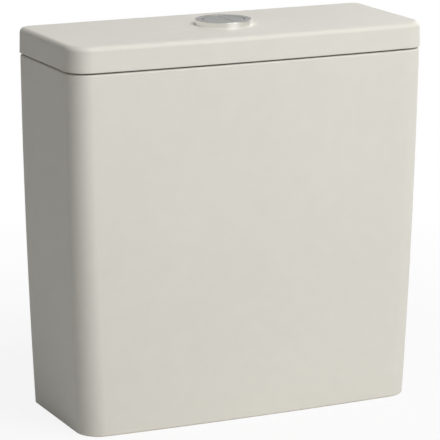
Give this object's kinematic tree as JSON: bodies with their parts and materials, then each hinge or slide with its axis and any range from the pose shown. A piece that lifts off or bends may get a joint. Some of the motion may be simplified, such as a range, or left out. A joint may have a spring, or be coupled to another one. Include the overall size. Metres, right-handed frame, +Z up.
{
  "type": "toilet cistern",
  "caption": "Close-coupled ceramic toilet cistern with a lift-off lid, a dual push button, a tower flush valve and a float fill valve.",
  "frame": {"origin": "centre of the plan, on the plane that the tank's skirt stands on", "axes": "+Z up, +Y towards the wall behind the cistern, +X to the right seen from the front"},
  "size_m": [0.38, 0.153, 0.3902],
  "materials": {
    "glaze": "satin greige glaze",
    "chrome": "satin chrome plate",
    "white_plastic": "moulded satin",
    "grey_plastic": "moulded satin",
    "blue_plastic": "moulded satin",
    "rubber": "matt",
    "foam": "closed-cell foam",
    "steel": "drawn",
    "silicone": "translucent matt"
  },
  "bodies": {
    "tank": {"tank": "glaze", "lid_pads": "silicone", "flush_base": "white_plastic", "flush_gasket": "rubber", "flush_back_nut": "white_plastic", "coupling_washer": "foam", "flush_tower": "white_plastic", "tower_head": "white_plastic", "rocker_pins": "steel", "half_float_stop": "grey_plastic", "fill_shank": "white_plastic", "fill_gasket": "rubber", "fill_back_nut": "white_plastic", "fill_strainer": "steel", "fill_riser": "white_plastic", "riser_lock": "blue_plastic", "fill_head": "white_plastic", "fill_diaphragm": "rubber", "fill_cap": "blue_plastic", "lever_pin": "steel"},
    "lid": {"lid": "glaze", "button_bezel": "chrome", "bezel_gasket": "foam", "button_sleeve": "white_plastic", "sleeve_nut": "white_plastic", "full_spring": "steel", "half_spring": "steel"},
    "full_button": {"full_button": "chrome", "full_rod": "grey_plastic"},
    "half_button": {"half_button": "chrome", "half_rod": "grey_plastic"},
    "full_rocker": {"full_rocker": "blue_plastic"},
    "half_rocker": {"half_rocker": "grey_plastic"},
    "valve_stem": {"overflow_tube": "white_plastic", "lift_yoke": "grey_plastic", "full_link": "blue_plastic", "flush_seal": "rubber", "seal_retainer": "grey_plastic"},
    "half_link": {"half_link": "grey_plastic"},
    "half_float": {"half_float": "blue_plastic"},
    "fill_float": {"fill_float": "grey_plastic", "float_link": "steel"},
    "float_lever": {"float_lever": "grey_plastic"},
    "valve_pin": {"valve_pin": "steel"}
  },
  "joints": [
    {"name": "lid_lift", "type": "slide", "parent": "tank", "child": "lid", "axis": [0, 0, 1], "range_m": [0, 0.12]},
    {"name": "full_press", "type": "slide", "parent": "lid", "child": "full_button", "axis": [0, 0, -1], "range_m": [0, 0.009], "stiffness_N_per_m": 300, "springref_m": -0.004, "deforming": ["full_spring"]},
    {"name": "half_press", "type": "slide", "parent": "lid", "child": "half_button", "axis": [0, 0, -1], "range_m": [0, 0.009], "stiffness_N_per_m": 300, "springref_m": -0.004, "deforming": ["half_spring"]},
    {"name": "full_rocker_turn", "type": "hinge", "parent": "tank", "child": "full_rocker", "pos_m": [-0.03195, 0, 0.302], "axis": [0, 1, 0], "range_deg": [0, 25.8]},
    {"name": "half_rocker_turn", "type": "hinge", "parent": "tank", "child": "half_rocker", "pos_m": [0.03195, 0, 0.302], "axis": [0, -1, 0], "range_deg": [0, 25.8]},
    {"name": "valve_lift", "type": "slide", "parent": "tank", "child": "valve_stem", "axis": [0, 0, 1], "range_m": [0, 0.0131]},
    {"name": "half_link_lift", "type": "slide", "parent": "tank", "child": "half_link", "axis": [0, 0, 1], "range_m": [0, 0.0131]},
    {"name": "half_float_rise", "type": "slide", "parent": "tank", "child": "half_float", "axis": [0, 0, 1], "range_m": [0, 0.04]},
    {"name": "fill_float_rise", "type": "slide", "parent": "tank", "child": "fill_float", "axis": [0, 0, 1], "range_m": [0, 0.014]},
    {"name": "float_lever_turn", "type": "hinge", "parent": "tank", "child": "float_lever", "pos_m": [0.12102, 0, 0.304], "axis": [0, 1, 0], "range_deg": [0, 27.4]},
    {"name": "valve_pin_press", "type": "slide", "parent": "tank", "child": "valve_pin", "axis": [0, 0, -1], "range_m": [0, 0.004]}
  ],
  "couplings": [
    {"joint": "full_rocker_turn", "follows": "full_press", "rad_per_m": 50},
    {"joint": "valve_lift", "follows": "full_press", "ratio": 1.45},
    {"joint": "half_rocker_turn", "follows": "half_press", "rad_per_m": 50},
    {"joint": "half_link_lift", "follows": "half_press", "ratio": 1.45},
    {"joint": "float_lever_turn", "follows": "fill_float_rise", "rad_per_m": 34},
    {"joint": "valve_pin_press", "follows": "fill_float_rise", "ratio": 0.2857}
  ]
}
